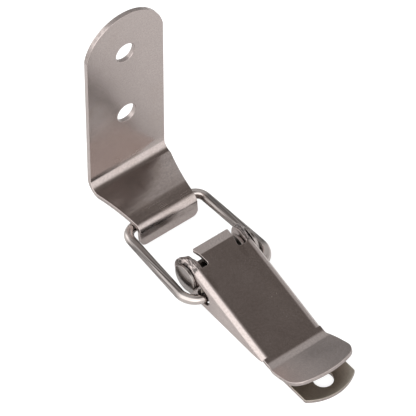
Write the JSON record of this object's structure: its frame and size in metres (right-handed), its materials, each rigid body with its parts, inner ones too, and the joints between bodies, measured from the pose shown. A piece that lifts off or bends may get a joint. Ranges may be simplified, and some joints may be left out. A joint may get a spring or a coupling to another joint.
{
  "type": "over centre toggle latch",
  "caption": "Pressed steel draw latch: a folded lever pulls a wire bail over a hooked keeper plate and holds it past centre.",
  "frame": {"origin": "mounting face of the base plate, on the centre line, under the pivot axis of the lever", "axes": "+X across the latch along the pivot rivet, +Y from the thumb end towards the keeper, +Z away from the mounting face"},
  "size_m": [0.033, 0.0981, 0.0743],
  "materials": {
    "base_steel": "rolled satin stainless sheet",
    "lever_steel": "rolled satin stainless sheet",
    "rivet_steel": "bright headed stainless rivet",
    "wire_steel": "drawn stainless wire",
    "keeper_steel": "rolled satin stainless sheet"
  },
  "bodies": {
    "base": {"base_plate": "base_steel", "pivot_rivet": "rivet_steel", "keeper": "keeper_steel"},
    "lever": {"lever": "lever_steel"},
    "bail": {"bail": "wire_steel"}
  },
  "joints": [
    {"name": "lever_hinge", "type": "hinge", "parent": "base", "child": "lever", "pos_m": [0, 0, 0.0084], "axis": [-1, 0, 0], "range_deg": [0, 100]},
    {"name": "bail_hinge", "type": "hinge", "parent": "lever", "child": "bail", "pos_m": [0, -0.0072, 0.0056], "axis": [1, 0, 0], "range_deg": [0, 75]}
  ],
  "couplings": [
    {"joint": "bail_hinge", "follows": "lever_hinge", "ratio": 0.75}
  ]
}
